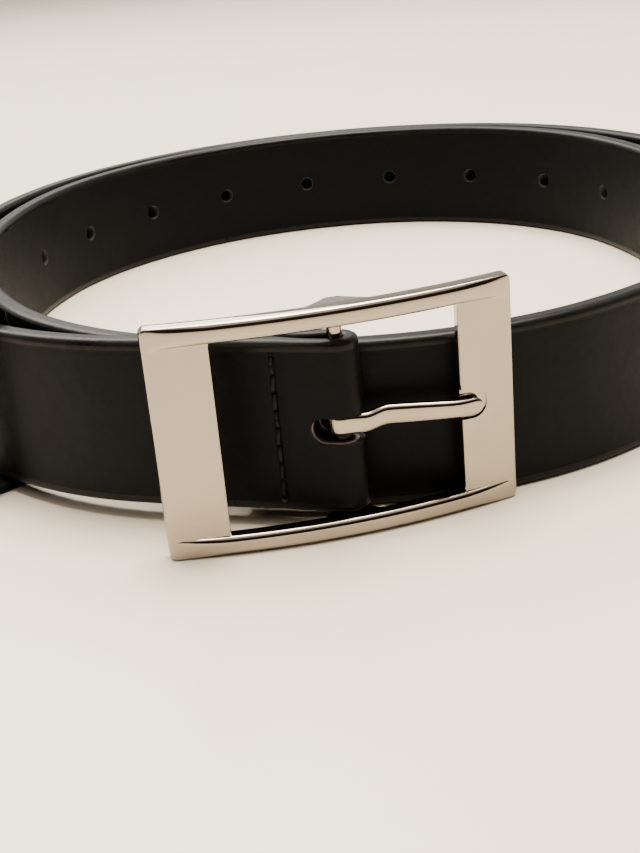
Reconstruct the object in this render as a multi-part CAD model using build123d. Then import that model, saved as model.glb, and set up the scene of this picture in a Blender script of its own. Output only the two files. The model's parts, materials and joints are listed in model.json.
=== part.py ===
"""A gentleman's dress belt, coiled and standing on its lower edge.

Millimetres, +Z up, the table at Z = 0.  The strap is a laminate of three
leathers that follows one plan curve, from the turned-back tab, round the
buckle's centre bar and on for a turn and a half to the pointed tip.  The
curve drawn below is the outer, finished face; the other layers are offsets
of it towards the inside of the coil.
"""
import os
from math import cos, pi, radians, sin

from build123d import *

os.makedirs("parts", exist_ok=True)

# ---------------------------------------------------------------- strap
STRAP_WIDTH = 30.0
STRAP_THICKNESS = 4.0
# depth of each joint between layers, below the finished face:
# in the skived tab and fold, and in the full strap
FACE_BACK = (1.0, 1.3)
CORE_BACK = (1.6, 2.6)
LINING_BACK = (2.4, STRAP_THICKNESS)
LAYERS = {
    "strap_face": ((0.0, 0.0), FACE_BACK),
    "strap_core": (FACE_BACK, CORE_BACK),
    "strap_lining": (CORE_BACK, LINING_BACK),
}

# ---------------------------------------------------------------- coil, seen from above
BAR_CENTRE = (-7.436, -108.496)  # axis of the buckle's centre bar
START_HEADING = 162.4            # the strap leaves the bar to the left
STRAIGHT_LENGTH = 30.4
BUCKLE_END_ARC = (76.0, 42.0)    # radius and sweep of the stretch the keeper slides on
LANDING_ARCS = [(128.0, 24.0), (170.5, 22.7)]
COIL_ARCS = [                    # radius and clockwise sweep of the finished face
    (96.8, 73.2),
    (91.8, 59.6),
    (123.1, 87.3),
    (71.4, 35.6),
    (86.8, 30.6),
    (83.5, 28.5),
    (144.8, 44.3),
    (89.3, 74.0),
    (80.8, 73.0),
    (125.0, 40.0),
]

# ---------------------------------------------------------------- buckle end
BAR_RADIUS = 1.25
FOLD_CLEARANCE = 0.1
FOLD_RADIUS = BAR_RADIUS + FOLD_CLEARANCE + LINING_BACK[0]
STRAP_LIFT = 3.0                 # the taller buckle holds this end off the table
FALL_HEADING = 130.0             # the strap comes down evenly along this direction
FALL_FROM = 3.0                  # distances from the end of the straight stretch
FALL_TO = 124.0
SKIVE_FROM = 4.0                 # distances from the bar along the strap
SKIVE_TO = 13.0
TAB_LENGTH = 19.0
TAB_GAP = 0.12                   # between the tab and the strap it is sewn to
SEWN_DEPTH = STRAP_THICKNESS + TAB_GAP + LINING_BACK[0]
TAB_BEND_FROM = 2.5
SLOT_HEIGHT = 4.8
SLOT_LEVEL = 17.5                # of its middle, above the table
SLOT_REACH = 4.4
STITCH_FROM_BAR = 9.9
STITCH_COUNT = 8
STITCH_PITCH = 3.1
THREAD_RADIUS = 0.35
AWL_RADIUS = 0.42
THREAD_DEPTH = 0.2                # of the runs' middle, below the finished face
CHANNEL_WIDTH = 1.2
CHANNEL_DEPTH = 0.6

# ---------------------------------------------------------------- free end
HOLE_RADIUS = 1.8
HOLE_PITCH = 28.0
HOLE_COUNT = 9
LAST_HOLE_FROM_TIP = 88.2
PUNCH_OVERRUN = 0.35
TIP_LENGTH = 22.0

# ---------------------------------------------------------------- buckle
FRAME_LENGTH = 60.2
FRAME_HEIGHT = 39.6
FRAME_SHIFT = -0.95              # the frame's middle is not quite over the bar
FRAME_TURN = 12.2                # how far the buckle is turned on its strap, degrees
FRAME_THICKNESS = 2.6
FRAME_FRONT_RADIUS = 118.0
FRAME_CROWN = 6.85               # front of the arch ahead of the bar's axis
RAIL_HEIGHT = 3.4
END_RECESS = 0.9                 # the end bars lie this far behind the rails' fronts
LEFT_BAR = 10.15
RIGHT_BAR = 9.75
CORNER_RADIUS = 1.0
RAIL_BEVEL = 0.8
END_BEVEL = 0.7
BOSS_WIDTH = 6.5
BOSS_HEIGHT = 2.9
BOSS_DROP = 2.2                  # the lug's outer side curves in this far at its back
BOSS_WALL = 0.9
BOSS_FILLET = 1.6
BAR_END_GAP = 1.6                # the bar's ends stop inside the bosses
BAR_PRESS = 0.01

# ---------------------------------------------------------------- prong
PRONG_WIDTH = 3.3
PRONG_THICKNESS = 1.8
PRONG_LEVEL = 18.0               # of its middle, above the table
PRONG_EYE_RADIUS = BAR_RADIUS + 0.08
PRONG_EYE_WALL = 1.1
PRONG_SHOULDER = (6.4, 2.1)      # along the buckle and ahead of the bar
PRONG_LAND = (19.2, 4.75)
PRONG_TIP = (23.0, 4.55)
PRONG_TIP_THICKNESS = 1.0
REST_DEPTH = 0.35
REST_LENGTH = 4.6
REST_RADIUS = 2.6
REST_LEVEL = 18.8

# ---------------------------------------------------------------- keeper
KEEPER_WIDTH = 12.0
KEEPER_WALL = 1.4
KEEPER_CENTRE = 75.0             # distance from the bar along the strap
KEEPER_ROOM = 4.7                # ahead of the finished face, for the free end
KEEPER_SLACK = 0.4
KEEPER_HEADROOM = 0.7
KEEPER_CORNER = 1.6
KEEPER_LAP = 17.0
STAPLE_RADIUS = 0.4
STAPLE_SPACING = 9.0
STAPLE_LENGTH = 6.0

TALL = 60.0


def heading(degrees):
    return Vector(cos(radians(degrees)), sin(radians(degrees)))


def inward(degrees):
    """Unit vector from the finished face towards the inside of the coil."""
    return heading(degrees - 90)


BAR = Vector(*BAR_CENTRE)


def at_bar(along, depth):
    """Plan point of the buckle end: along the strap, depth below its finished face."""
    return BAR + heading(START_HEADING) * along + inward(START_HEADING) * (depth - FOLD_RADIUS)


def chain(start, start_heading, arcs, depth):
    """Tangent arcs for the surface at this depth below the finished face."""
    edges = []
    point = start
    angle = start_heading
    for radius, sweep in arcs:
        edge = JernArc(start=point, tangent=heading(angle), radius=radius - depth, arc_size=-sweep)
        edges.append(edge)
        point = edge @ 1
        angle -= sweep
    return edges


def ribbon(outer, inner, bottom):
    """Wall between two matching plan curves."""
    caps = [Line(outer[0] @ 0, inner[0] @ 0), Line(outer[-1] @ 1, inner[-1] @ 1)]
    outline = make_face(Wire(outer + inner + caps))
    return extrude(Pos(0, 0, bottom) * outline, STRAP_WIDTH)


def buckle_end(depth):
    """Tab, fold, skive and the stretch that is sewn to the tab."""
    thin, full = depth
    sewn = SEWN_DEPTH - thin
    tab = Polyline(
        at_bar(TAB_LENGTH, sewn),
        at_bar(STITCH_FROM_BAR - 3, sewn),
        at_bar(TAB_BEND_FROM, 2 * FOLD_RADIUS - thin),
        at_bar(0, 2 * FOLD_RADIUS - thin),
    )
    fold = JernArc(
        start=at_bar(0, 2 * FOLD_RADIUS - thin),
        tangent=heading(START_HEADING + 180),
        radius=FOLD_RADIUS - thin,
        arc_size=-180,
    )
    straight = Polyline(
        at_bar(0, thin),
        at_bar(SKIVE_FROM, thin),
        at_bar(SKIVE_TO, full),
        at_bar(STRAIGHT_LENGTH, full),
    )
    return tab.edges() + fold.edges() + straight.edges()


FALL_ARCS = [BUCKLE_END_ARC, *LANDING_ARCS]
FALL_FACE = chain(at_bar(STRAIGHT_LENGTH, 0), START_HEADING, FALL_ARCS, 0)
COIL_START = FALL_FACE[-1] @ 1
COIL_HEADING = START_HEADING - sum(sweep for _, sweep in FALL_ARCS)


def falling_strap(outer, inner):
    """The stretch that comes down from the buckle's height to the table."""
    curves = []
    for depth in (outer, inner):
        start = at_bar(STRAIGHT_LENGTH, depth)
        curves.append([edge.edge() for edge in chain(start, START_HEADING, FALL_ARCS, depth)])
    wall = Pos(0, 0, -STRAP_WIDTH / 2) * ribbon(*curves, 0)
    wall += Pos(0, 0, STRAP_WIDTH / 2) * ribbon(*curves, 0)
    low_edge = [(-TALL, STRAP_LIFT), (FALL_FROM, STRAP_LIFT), (FALL_TO, 0), (FALL_TO + 2 * TALL, 0)]
    high_edge = [(along, level + STRAP_WIDTH) for along, level in reversed(low_edge)]
    start = at_bar(STRAIGHT_LENGTH, 0)
    side = Plane(
        origin=(start.X, start.Y, 0),
        x_dir=heading(FALL_HEADING),
        z_dir=heading(FALL_HEADING - 90),
    )
    band = make_face(side * Polyline(*low_edge, *high_edge, close=True))
    return wall & extrude(band, 2 * TALL, both=True)


def coil(outer, inner):
    """Everything that stands on the table, to the tip."""
    curves = []
    for depth in (outer, inner):
        start = COIL_START + inward(COIL_HEADING) * depth
        curves.append([edge.edge() for edge in chain(start, COIL_HEADING, COIL_ARCS, depth)])
    return ribbon(*curves, 0)


FREE_ARCS = chain(COIL_START, COIL_HEADING, COIL_ARCS, 0)
FREE_LENGTH = sum(edge.length for edge in FREE_ARCS)


def free_end_frame(from_tip):
    """Plan point on the finished face and its heading, measured back from the tip."""
    remaining = from_tip
    for edge in reversed(FREE_ARCS):
        if remaining <= edge.length:
            fraction = 1 - remaining / edge.length
            return edge @ fraction, edge % fraction
        remaining -= edge.length
    raise ValueError("beyond the start of the coil")


def across_strap(point, direction, height):
    """Plane at the finished face: X along the strap, Z into its thickness."""
    into = Vector(direction.Y, -direction.X)
    origin = Vector(point.X, point.Y, height)
    return Plane(origin=origin, x_dir=direction, z_dir=into)


def strap_holes():
    """Punched adjusting holes."""
    cutters = []
    for index in range(HOLE_COUNT):
        point, direction = free_end_frame(LAST_HOLE_FROM_TIP + index * HOLE_PITCH)
        plane = across_strap(point, direction, STRAP_WIDTH / 2)
        punch = Cylinder(HOLE_RADIUS, STRAP_THICKNESS + 2 * PUNCH_OVERRUN)
        cutters.append(plane * Pos(0, 0, STRAP_THICKNESS / 2) * punch)
    return cutters


def tip_cutter():
    """Leaves a blunt point on the free end, seen square to the strap."""
    point, direction = free_end_frame(0)
    plane = across_strap(point, direction, STRAP_WIDTH / 2)
    half = STRAP_WIDTH / 2
    point_curve = [
        ThreePointArc((-TIP_LENGTH, half), (-0.38 * TIP_LENGTH, 0.62 * half), (0, 0)),
        ThreePointArc((0, 0), (-0.38 * TIP_LENGTH, -0.62 * half), (-TIP_LENGTH, -half)),
    ]
    back = Line((-TIP_LENGTH, -half), (-TIP_LENGTH, half))
    kept = make_face(Wire([edge.edge() for edge in point_curve] + [back]))
    slab = Pos(-TIP_LENGTH / 2 + 2, 0) * Rectangle(TIP_LENGTH + 4, STRAP_WIDTH + 4)
    return plane * extrude(slab - kept, 2 * STRAP_THICKNESS, both=True)


def slot_cutter():
    """Oblong slot for the prong, cut through both leaves of the fold."""
    length = SLOT_REACH + FOLD_RADIUS + 2
    middle = at_bar(SLOT_REACH - length / 2, FOLD_RADIUS)
    body = Box(length, 6 * FOLD_RADIUS, SLOT_HEIGHT)
    round_end = Pos(length / 2, 0, 0) * Rot(90, 0, 0) * Cylinder(SLOT_HEIGHT / 2, 6 * FOLD_RADIUS)
    turned = Rot(0, 0, START_HEADING) * (body + round_end)
    return Pos(middle.X, middle.Y, SLOT_LEVEL) * turned


def stitch_heights():
    middle = STRAP_LIFT + STRAP_WIDTH / 2
    return [middle + (index - STITCH_COUNT / 2) * STITCH_PITCH for index in range(STITCH_COUNT + 1)]


def stitch_leg(height, radius, from_depth, to_depth):
    start = at_bar(STITCH_FROM_BAR, from_depth)
    plane = Plane(
        origin=(start.X, start.Y, height),
        x_dir=heading(START_HEADING),
        z_dir=inward(START_HEADING),
    )
    return plane * extrude(Circle(radius), to_depth - from_depth)


def stitch_channels():
    """Shallow channels that the runs of the row lie in, one in each leaf of the fold."""
    length = (STITCH_COUNT + 0.5) * STITCH_PITCH
    channel = Rot(0, 0, START_HEADING) * Box(CHANNEL_WIDTH, 2 * CHANNEL_DEPTH, length)
    height = STRAP_LIFT + STRAP_WIDTH / 2
    spots = [at_bar(STITCH_FROM_BAR, depth) for depth in (0, SEWN_DEPTH)]
    return [Pos(spot.X, spot.Y, height) * channel for spot in spots]


def fold_stitching():
    """One lock-stitched row: runs lie in both faces, legs pass through the awl holes."""
    depths = (THREAD_DEPTH, SEWN_DEPTH - THREAD_DEPTH)
    heights = stitch_heights()
    thread = stitch_leg(heights[0], THREAD_RADIUS, *depths)
    for height in heights[1:]:
        thread += stitch_leg(height, THREAD_RADIUS, *depths)
    run = Cylinder(THREAD_RADIUS, heights[-1] - heights[0], align=(Align.CENTER, Align.CENTER, Align.MIN))
    for depth in depths:
        spot = at_bar(STITCH_FROM_BAR, depth)
        thread += Pos(spot.X, spot.Y, heights[0]) * run
        for height in (heights[0], heights[-1]):
            thread += Pos(spot.X, spot.Y, height) * Sphere(THREAD_RADIUS)
    return thread


def in_buckle(shape):
    """From the buckle's own axes (X along it, -Y ahead of the bar) to its place in the belt."""
    return Pos(BAR.X, BAR.Y, 0) * Rot(0, 0, FRAME_TURN) * shape


def front_of_frame(along):
    """How far the arched front stands ahead of the bar's axis."""
    centre = FRAME_CROWN - FRAME_FRONT_RADIUS
    return centre + (FRAME_FRONT_RADIUS ** 2 - (along - FRAME_SHIFT) ** 2) ** 0.5


def arched(left, right, bottom, top, front, back):
    """Slab of the arch between two depths below the rails' fronts."""
    ring = Circle(FRAME_FRONT_RADIUS - front) - Circle(FRAME_FRONT_RADIUS - back)
    strip = Pos((left + right) / 2, -FRAME_CROWN) * Rectangle(right - left, 20)
    sector = (Pos(FRAME_SHIFT, FRAME_FRONT_RADIUS - FRAME_CROWN) * ring) & strip
    return Pos(0, 0, bottom) * extrude(sector, top - bottom)


def fronts(solid, depth):
    """The solid's arched faces at this depth below the rails' fronts."""
    arches = solid.faces().filter_by(GeomType.CYLINDER)
    return arches.filter_by(lambda face: abs(face.radius - FRAME_FRONT_RADIUS + depth) < 0.01)


def boss():
    """Lug behind the upper rail that carries the top end of the centre bar."""
    back = BAR_RADIUS + BOSS_WALL
    rail_back = FRAME_THICKNESS - FRAME_CROWN
    front = rail_back - FRAME_THICKNESS / 2
    lug = Pos(0, (back + front) / 2) * Rectangle(BOSS_WIDTH, back - front)
    lug = fillet(lug.vertices().group_by(Axis.Y)[-1], BOSS_FILLET)
    flare = Pos(0, rail_back + BOSS_FILLET / 2) * Rectangle(BOSS_WIDTH + 2 * BOSS_FILLET, BOSS_FILLET)
    for side in (-1, 1):
        flare -= Pos(side * (BOSS_WIDTH / 2 + BOSS_FILLET), rail_back + BOSS_FILLET) * Circle(BOSS_FILLET)
    solid = extrude(lug + flare, BOSS_HEIGHT)
    length = back - rail_back
    level = BOSS_HEIGHT - BOSS_DROP
    dome = Plane.YZ * Pos(rail_back, level) * Ellipse(length + 0.3, BOSS_DROP)
    dome += Plane.YZ * Pos(rail_back - 2, BOSS_HEIGHT / 2) * Rectangle(4, BOSS_HEIGHT)
    dome += Plane.YZ * Pos(rail_back + length / 2, level / 2) * Rectangle(length + 0.6, level)
    shaped = solid & extrude(dome, BOSS_WIDTH, both=True)
    return Pos(0, 0, FRAME_HEIGHT - BOSS_HEIGHT) * shaped


def buckle_frame():
    """Two arched rails, two end bars set back between them, bosses and a prong rest."""
    left = FRAME_SHIFT - FRAME_LENGTH / 2
    right = FRAME_SHIFT + FRAME_LENGTH / 2
    window_left = left + LEFT_BAR
    window_right = right - RIGHT_BAR
    top = FRAME_HEIGHT - RAIL_HEIGHT
    plate = arched(left, right, 0, FRAME_HEIGHT, 0, FRAME_THICKNESS)
    ends = plate.faces().filter_by(Axis.X)
    corners = ends.edges().filter_by(Axis.Y)
    plate = fillet(corners, CORNER_RADIUS)
    plate -= arched(window_left, window_right, RAIL_HEIGHT, top, -1, FRAME_THICKNESS + 1)
    plate -= arched(left - 1, right + 1, RAIL_HEIGHT, top, -1, END_RECESS)
    for rail in (0, -1):
        front = fronts(plate, 0).sort_by(Axis.Z)[rail]
        plate = chamfer(front.outer_wire().edges(), RAIL_BEVEL)
    for end in (0, -1):
        front = fronts(plate, END_RECESS).sort_by(Axis.X)[end]
        plate = chamfer(front.edges().sort_by(Axis.X)[end], END_BEVEL)

    rest_floor = front_of_frame(window_right + REST_LENGTH / 2) - END_RECESS - REST_DEPTH
    rest = Circle(REST_RADIUS) + Pos(-REST_RADIUS, 0) * Rectangle(2 * REST_RADIUS, 2 * REST_RADIUS)
    rest_plane = Plane(
        origin=(window_right + REST_LENGTH - REST_RADIUS, -rest_floor, REST_LEVEL),
        x_dir=(1, 0, 0),
        z_dir=(0, -1, 0),
    )
    plate -= rest_plane * extrude(rest, 10)

    upper = boss()
    lower = mirror(upper, about=Plane.XY.offset(FRAME_HEIGHT / 2))
    bore = Cylinder(BAR_RADIUS + BAR_PRESS, FRAME_HEIGHT - 2 * BAR_END_GAP)
    return in_buckle(plate + upper + lower - Pos(0, 0, FRAME_HEIGHT / 2) * bore)


def centre_bar():
    bar = Cylinder(BAR_RADIUS, FRAME_HEIGHT - 2 * BAR_END_GAP - 2 * BAR_PRESS)
    bar = chamfer(bar.edges(), 0.2)
    return in_buckle(Pos(0, 0, FRAME_HEIGHT / 2) * bar)


def prong():
    """Eye round the centre bar, a bend and a straight arm thinned at its tip."""
    eye_outer = PRONG_EYE_RADIUS + PRONG_EYE_WALL
    half = PRONG_THICKNESS / 2
    half_tip = PRONG_TIP_THICKNESS / 2
    ahead = [(along, -level - half) for along, level in (PRONG_SHOULDER, PRONG_LAND)]
    behind = [(along, -level + half) for along, level in (PRONG_LAND, PRONG_SHOULDER)]
    tip_along, tip_level = PRONG_TIP
    arm = make_face(Polyline(
        (0, -eye_outer),
        *ahead,
        (tip_along, -tip_level - half_tip),
        (tip_along, -tip_level + half_tip),
        *behind,
        (eye_outer, 0),
        close=True,
    ))
    outline = Circle(eye_outer) + arm
    bends = [vertex for vertex in outline.vertices() if 5 < vertex.X < 20]
    outline = fillet(bends, 2.5)
    solid = extrude(outline - Circle(PRONG_EYE_RADIUS), PRONG_WIDTH)
    tip = solid.faces().sort_by(Axis.X)[-1]
    solid = fillet(tip.edges().filter_by(Axis.Y), 1.2)
    return in_buckle(Pos(0, 0, PRONG_LEVEL - PRONG_WIDTH / 2) * solid)


def keeper_frame():
    """Middle of the keeper on the finished face, with the heading of the strap there."""
    radius, _ = BUCKLE_END_ARC
    swept = degrees_along(KEEPER_CENTRE - STRAIGHT_LENGTH, radius)
    slide = chain(at_bar(STRAIGHT_LENGTH, 0), START_HEADING, [(radius, swept)], 0)[0]
    return slide @ 1, START_HEADING - swept


def keeper_section():
    """The loop in the plane of the strap's axis: X is the radius from the arc's centre."""
    radius, _ = BUCKLE_END_ARC
    outer = radius + KEEPER_ROOM + KEEPER_WALL
    inner = radius - STRAP_THICKNESS - KEEPER_SLACK - KEEPER_WALL
    height = STRAP_LIFT + STRAP_WIDTH + KEEPER_HEADROOM + KEEPER_WALL
    centre = Pos((outer + inner) / 2, height / 2)
    loop = centre * RectangleRounded(outer - inner, height, KEEPER_CORNER)
    loop += Pos(inner, height / 2) * RectangleRounded(2 * KEEPER_WALL, KEEPER_LAP, KEEPER_WALL / 2)
    return loop - centre * Rectangle(outer - inner - 2 * KEEPER_WALL, height - 2 * KEEPER_WALL)


def on_keeper(shape):
    """From axes at the keeper arc's centre, with X out through the keeper's middle."""
    middle, angle = keeper_frame()
    pivot = middle + inward(angle) * BUCKLE_END_ARC[0]
    return Pos(pivot.X, pivot.Y, 0) * Rot(0, 0, angle + 90) * shape


def staple_bar(radius, height, side):
    """One leg of a staple, through the lapped ends."""
    leg = Rot(0, 90, 0) * Cylinder(radius, 2 * KEEPER_WALL + 0.4)
    back = BUCKLE_END_ARC[0] - STRAP_THICKNESS - KEEPER_SLACK - KEEPER_WALL
    return Pos(back, side * STAPLE_LENGTH / 2, height) * leg


def staple_heights():
    middle = (STRAP_LIFT + STRAP_WIDTH + KEEPER_HEADROOM + KEEPER_WALL) / 2
    return (middle - STAPLE_SPACING / 2, middle + STAPLE_SPACING / 2)


def keeper_band():
    """Loose leather loop with lapped ends, curved like the strap it slides on."""
    sweep = degrees_along(KEEPER_WIDTH, BUCKLE_END_ARC[0])
    ring = Rot(0, 0, -sweep / 2) * revolve(Plane.XZ * keeper_section(), Axis.Z, sweep)
    for height in staple_heights():
        for side in (-1, 1):
            ring -= staple_bar(STAPLE_RADIUS + 0.03, height, side)
    return on_keeper(ring)


def keeper_staples():
    """Two wire staples that hold the keeper's lapped ends."""
    lap_radius = BUCKLE_END_ARC[0] - STRAP_THICKNESS - KEEPER_SLACK - 2 * KEEPER_WALL
    crown_radius = lap_radius - STAPLE_RADIUS - 0.08
    staples = []
    for height in staple_heights():
        crown = Pos(crown_radius, 0, height) * Rot(90, 0, 0) * Cylinder(STAPLE_RADIUS, STAPLE_LENGTH)
        staple = crown
        for side in (-1, 1):
            staple += Pos(-0.2, 0, 0) * staple_bar(STAPLE_RADIUS, height, side)
            staple += Pos(crown_radius, side * STAPLE_LENGTH / 2, height) * Sphere(STAPLE_RADIUS)
        staples.append(on_keeper(staple))
    return Compound(children=staples)


def degrees_along(length, radius):
    return length / radius * 180 / pi


def strap_layers():
    shapes = {}
    awl_holes = [
        stitch_leg(height, AWL_RADIUS, -STRAP_THICKNESS, 3 * STRAP_THICKNESS)
        for height in stitch_heights()
    ]
    punched = strap_holes()
    for name, (outer, inner) in LAYERS.items():
        layer = ribbon(buckle_end(outer), buckle_end(inner), STRAP_LIFT)
        layer = layer - slot_cutter() - awl_holes - stitch_channels()
        layer += falling_strap(outer[1], inner[1])
        layer += coil(outer[1], inner[1]) - punched - tip_cutter()
        shapes[name] = layer
    return shapes


shapes = strap_layers()
shapes["fold_stitching"] = fold_stitching()
shapes["buckle_frame"] = buckle_frame()
shapes["centre_bar"] = centre_bar()
shapes["prong"] = prong()
shapes["keeper_band"] = keeper_band()
shapes["keeper_staples"] = keeper_staples()
for name, shape in shapes.items():
    shape.label = name
    export_step(shape, f"parts/{name}.step")
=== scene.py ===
"""The coiled dress belt: detailed leather, thread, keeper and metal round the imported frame."""

import json
import math
import random

import bpy
import bmesh
from mathutils import Matrix, Vector, noise


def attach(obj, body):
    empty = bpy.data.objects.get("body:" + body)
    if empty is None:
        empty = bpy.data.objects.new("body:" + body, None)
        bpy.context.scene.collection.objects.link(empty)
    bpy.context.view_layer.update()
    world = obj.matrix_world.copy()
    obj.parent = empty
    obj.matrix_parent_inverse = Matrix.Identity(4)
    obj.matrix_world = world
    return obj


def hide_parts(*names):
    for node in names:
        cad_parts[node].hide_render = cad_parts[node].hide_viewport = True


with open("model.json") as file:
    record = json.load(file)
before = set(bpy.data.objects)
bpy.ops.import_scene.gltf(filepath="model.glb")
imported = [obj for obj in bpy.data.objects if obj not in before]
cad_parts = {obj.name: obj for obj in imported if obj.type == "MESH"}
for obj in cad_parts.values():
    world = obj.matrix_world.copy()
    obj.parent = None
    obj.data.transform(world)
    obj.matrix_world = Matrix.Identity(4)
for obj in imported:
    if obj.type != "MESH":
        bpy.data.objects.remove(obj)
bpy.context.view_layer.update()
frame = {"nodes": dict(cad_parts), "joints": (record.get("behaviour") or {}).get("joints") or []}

MM = 0.001
RNG = random.Random(7)

# ------------------------------------------------------------------ strap, in millimetres
STRAP_WIDTH = 30.0
THICKNESS = 4.0
FACE_BACK = (1.0, 1.3)            # depth of each joint between layers: skived, full
CORE_BACK = (1.6, 2.6)
LINING_BACK = (2.4, THICKNESS)
START_HEADING = 162.4
STRAIGHT = 30.4
PLAN_ARCS = [                     # radius and clockwise sweep of the finished face
    (76.0, 42.0),
    (128.0, 24.0),
    (170.5, 22.7),
    (96.8, 73.2),
    (91.8, 59.6),
    (123.1, 87.3),
    (71.4, 35.6),
    (86.8, 30.6),
    (83.5, 28.5),
    (144.8, 44.3),
    (89.3, 74.0),
    (80.8, 73.0),
    (125.0, 40.0),
]
FOLD_RADIUS = 3.75
SKIVE = (4.0, 13.0)
SEWN_DEPTH = 6.52
TAB_BEND = (1.5, 7.6)
TAB_LENGTH = 19.0
LIFT = 3.0
FALL_HEADING = 130.0
FALL = (3.0, 124.0)               # measured along the fall's heading from the straight's end
FALL_END = 260.0                  # beyond this distance the strap stands on the table
TIP_LENGTH = 22.0
HOLE_RADIUS = 1.8
HOLE_PITCH = 28.0
HOLE_COUNT = 9
LAST_HOLE_FROM_TIP = 88.2
SLOT_HEIGHT = 4.8
SLOT_LEVEL = 17.5
SLOT_REACH = 4.4
STITCH_FROM_BAR = 9.9
STITCH_COUNT = 8
STITCH_PITCH = 3.1

CREASE_INSET = 1.7
CREASE_DEPTH = 0.02

JOINTS = {joint["name"]: joint for joint in frame["joints"]}
BAR = Vector([value / MM for value in JOINTS["buckle_swing"]["pos_m"]])


def smooth(low, high, value):
    """0 below low, 1 above high, eased between."""
    t = min(max((value - low) / (high - low), 0.0), 1.0)
    return t * t * (3 - 2 * t)


def linear(low, high, value):
    """0 below low, 1 above high, straight between."""
    return min(max((value - low) / (high - low), 0.0), 1.0)


def heading(degrees):
    """Unit vector in plan."""
    return Vector((math.cos(math.radians(degrees)), math.sin(math.radians(degrees))))


def inward(degrees):
    """Unit vector from the finished face into the strap's thickness."""
    return heading(degrees - 90)


def plan_segments():
    """Start distance, start point, heading, radius and length of each stretch of the finished face."""
    point = BAR.xy - inward(START_HEADING) * FOLD_RADIUS
    segments = [(0.0, point, START_HEADING, None, STRAIGHT)]
    point = point + heading(START_HEADING) * STRAIGHT
    angle, distance = START_HEADING, STRAIGHT
    for radius, sweep in PLAN_ARCS:
        length = radius * math.radians(sweep)
        segments.append((distance, point, angle, radius, length))
        centre = point + inward(angle) * radius
        angle -= sweep
        point = centre - inward(angle) * radius
        distance += length
    return segments, distance


SEGMENTS, STRAP_LENGTH = plan_segments()


def plan(distance):
    """Point and heading of the finished face at this distance from the bar."""
    for start, point, angle, radius, length in SEGMENTS:
        if distance <= start + length or start == SEGMENTS[-1][0]:
            along = distance - start
            if radius is None:
                return point + heading(angle) * along, angle
            centre = point + inward(angle) * radius
            turned = angle - math.degrees(along / radius)
            return centre - inward(turned) * radius, turned


def lift_at(distance):
    """Height of the strap's lower edge above the table."""
    if distance > FALL_END:
        return 0.0
    start = plan(STRAIGHT)[0]
    fallen = (plan(max(distance, STRAIGHT))[0] - start).dot(heading(FALL_HEADING))
    return LIFT * (1 - linear(*FALL, fallen))


class Station:
    """One cross-section of the strap."""

    def __init__(self, point, normal, distance, fullness, low=LIFT):
        self.point = point
        self.normal = normal
        self.distance = distance
        self.fullness = fullness
        self.low = low
        self.half = STRAP_WIDTH / 2

    def depth(self, pair):
        return pair[0] + (pair[1] - pair[0]) * self.fullness


def spaced(start, end, step):
    """Even values from start up to, but without, end."""
    count = max(1, round(abs(end - start) / step))
    return [start + (end - start) * index / count for index in range(count)]


def tab_stations():
    """The turned-back tab, from its skived end to the fold."""
    points = []
    for along in spaced(TAB_LENGTH, 0.0, 0.6) + [0.0]:
        point, angle = plan(along)
        deep = 2 * FOLD_RADIUS + (SEWN_DEPTH - 2 * FOLD_RADIUS) * smooth(*TAB_BEND, along)
        points.append((point + inward(angle) * deep, along))
    stations = []
    for index, (point, along) in enumerate(points[:-1]):
        before = points[max(index - 1, 0)][0]
        travel = (points[index + 1][0] - before).normalized()
        stations.append(Station(point, Vector((travel.y, -travel.x)), -along, 0.0))
    return stations


def strap_stations():
    """From the end of the turned-back tab, round the bar, to the tip."""
    stations = tab_stations()
    centre = plan(0.0)[0] + inward(START_HEADING) * FOLD_RADIUS
    for turn in spaced(0.0, 180.0, 4.0):
        out = heading(START_HEADING - 90 - turn)
        stations.append(Station(centre + out * FOLD_RADIUS, -out, 0.0, 0.0))
    steps = spaced(0.0, 20.0, 0.5) + spaced(20.0, STRAP_LENGTH - TIP_LENGTH, 1.5)
    steps += spaced(STRAP_LENGTH - TIP_LENGTH, STRAP_LENGTH - 2.0, 0.8)
    steps += spaced(STRAP_LENGTH - 2.0, STRAP_LENGTH - 0.02, 0.2) + [STRAP_LENGTH - 0.02]
    for along in steps:
        point, angle = plan(along)
        station = Station(point, inward(angle), along, linear(*SKIVE, along), lift_at(along))
        from_tip = STRAP_LENGTH - along
        if from_tip < TIP_LENGTH:
            station.half = tip_half_width(from_tip)
        stations.append(station)
    return stations


def tip_half_width(from_tip):
    """Blunt point: a superellipse from the strap's full width to the tip."""
    t = 1 - from_tip / TIP_LENGTH
    return STRAP_WIDTH / 2 * max(1 - t ** 2.1, 0.0) ** 0.62


def unevenness(distance, height):
    """Slow waves of the leather, the same in all three layers."""
    if abs(distance) < 24:
        pucker = 1 + 0.35 * math.cos(2 * math.pi * height / STITCH_PITCH)
        return -0.16 * pucker * math.exp(-((abs(distance) - STITCH_FROM_BAR) / 1.7) ** 2)
    calm = smooth(24, 60, distance) * smooth(0, 30, STRAP_LENGTH - distance)
    wave = noise.noise(Vector((distance * 0.028, height * 0.03, 3.1)))
    ripple = noise.noise(Vector((distance * 0.085, height * 0.06, 8.7)))
    return calm * (0.16 * wave + 0.05 * ripple)


FLAT_SHARES = [index / 6 for index in range(-6, 7)]
CREASE_SHAPE = ((0.0, 0.0), (0.22, 0.55), (0.42, 1.0), (0.62, 0.55), (0.85, 0.0))


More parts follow.
